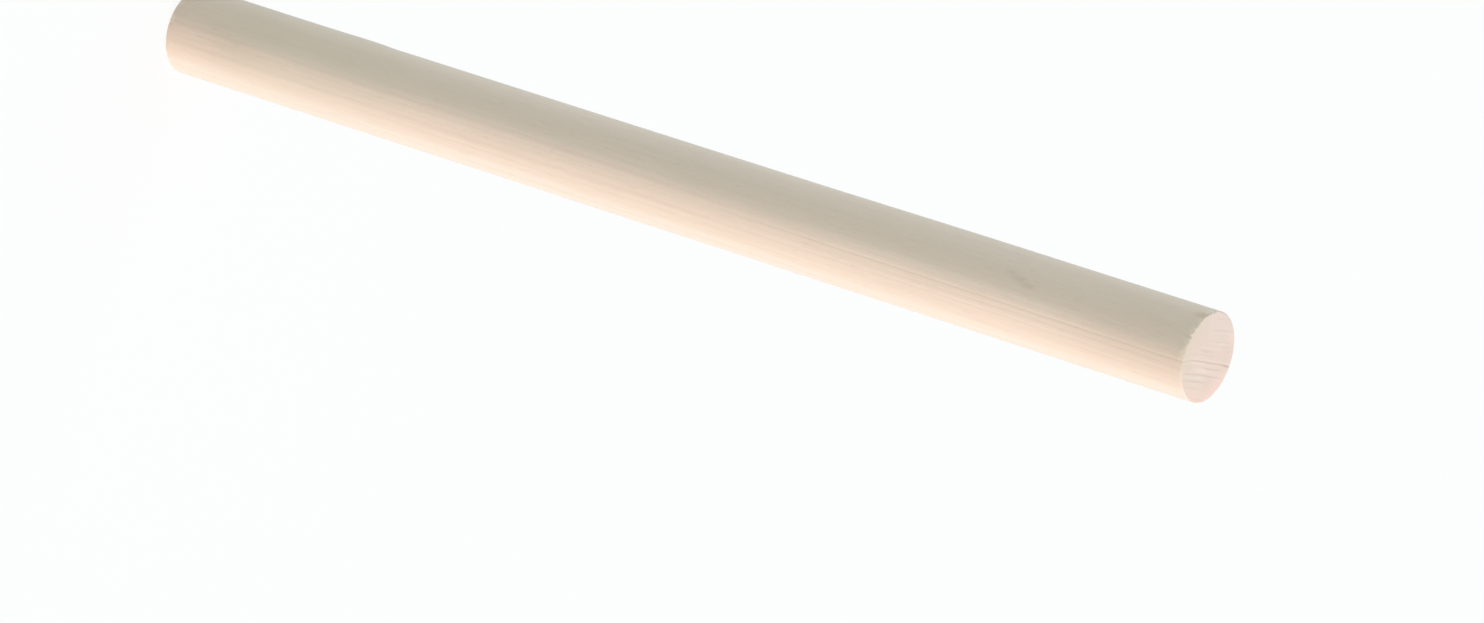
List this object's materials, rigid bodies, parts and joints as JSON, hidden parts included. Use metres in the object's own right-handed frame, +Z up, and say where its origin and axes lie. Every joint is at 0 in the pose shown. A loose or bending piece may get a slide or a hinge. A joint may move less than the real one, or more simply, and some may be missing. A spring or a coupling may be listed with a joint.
{
  "type": "wooden dowel rod",
  "caption": "Straight round rod of bare pale hardwood with square-sawn ends and lightly sanded edges, for pegs, rails, axles and joinery.",
  "frame": {"origin": "centre of the lower sawn end, on the rod's axis, where the rod stands", "axes": "+Z up along the rod's axis to the upper sawn end; X and Y lie across it, and the section is round, so neither is special"},
  "size_m": [0.0222, 0.0222, 0.3048],
  "materials": {
    "bare_wood": "bare, machined and lightly sanded; sawn end grain"
  },
  "bodies": {
    "root": {"dowel_rod": "bare_wood"}
  },
  "joints": []
}
